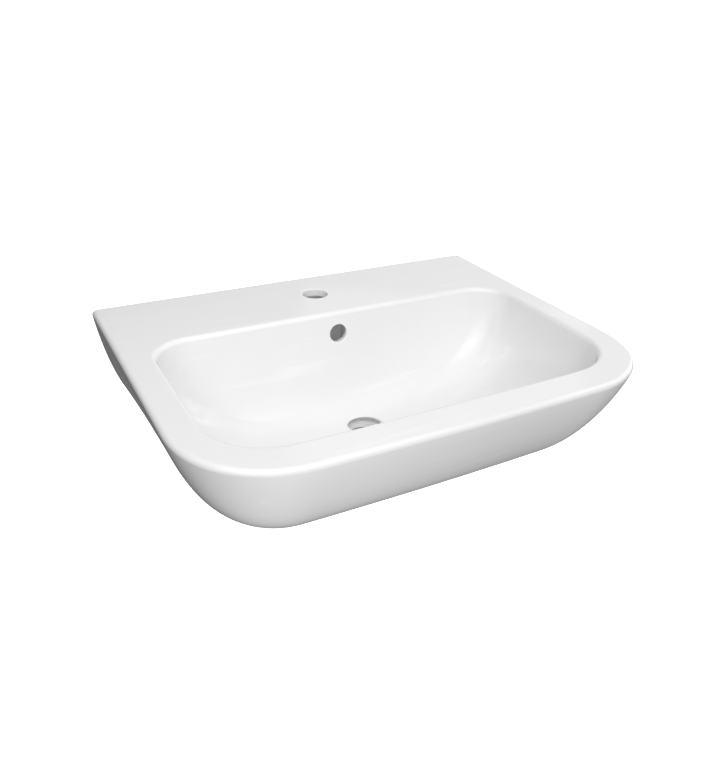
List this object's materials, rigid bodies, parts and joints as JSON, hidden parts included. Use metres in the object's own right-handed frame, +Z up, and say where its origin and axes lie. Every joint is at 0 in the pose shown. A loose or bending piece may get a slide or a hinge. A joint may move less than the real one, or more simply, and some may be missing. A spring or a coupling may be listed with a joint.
{
  "type": "washbasin",
  "caption": "Wall-hung washbasin in glazed china: a D-shaped bowl behind a low front rim, with a tap ledge, an overflow and a bare waste hole, carried on wall bolts.",
  "frame": {"origin": "on the wall's face, midway between the two wall bolts, 78 mm below the deck", "axes": "+X along the wall, +Y into the wall, so the front of the basin is towards -Y, +Z up"},
  "size_m": [0.58, 0.528, 0.168],
  "materials": {
    "glazed_china": "gloss white glaze",
    "zinc_steel": "bright zinc plate",
    "grey_nylon": "matt",
    "natural_nylon": "satin",
    "white_plastic": "gloss"
  },
  "bodies": {
    "root": {"ledge": "glazed_china", "rim": "glazed_china", "bowl_floor": "glazed_china", "bowl_left": "glazed_china", "bowl_right": "glazed_china", "bowl_front": "glazed_china", "bowl_back": "glazed_china", "bowl_corner_left": "glazed_china", "bowl_corner_right": "glazed_china", "apron_left": "glazed_china", "apron_right": "glazed_china", "apron_front": "glazed_china", "wall_fillet": "glazed_china", "back_wall": "glazed_china", "foot_left": "glazed_china", "foot_right": "glazed_china", "foot_front": "glazed_china", "overflow_duct": "glazed_china", "waste_boss": "glazed_china", "hanger_bolts": "zinc_steel", "wall_plugs": "grey_nylon", "collar_bushes": "natural_nylon", "washers": "zinc_steel", "hex_nuts": "zinc_steel", "nut_caps": "white_plastic"}
  },
  "joints": []
}
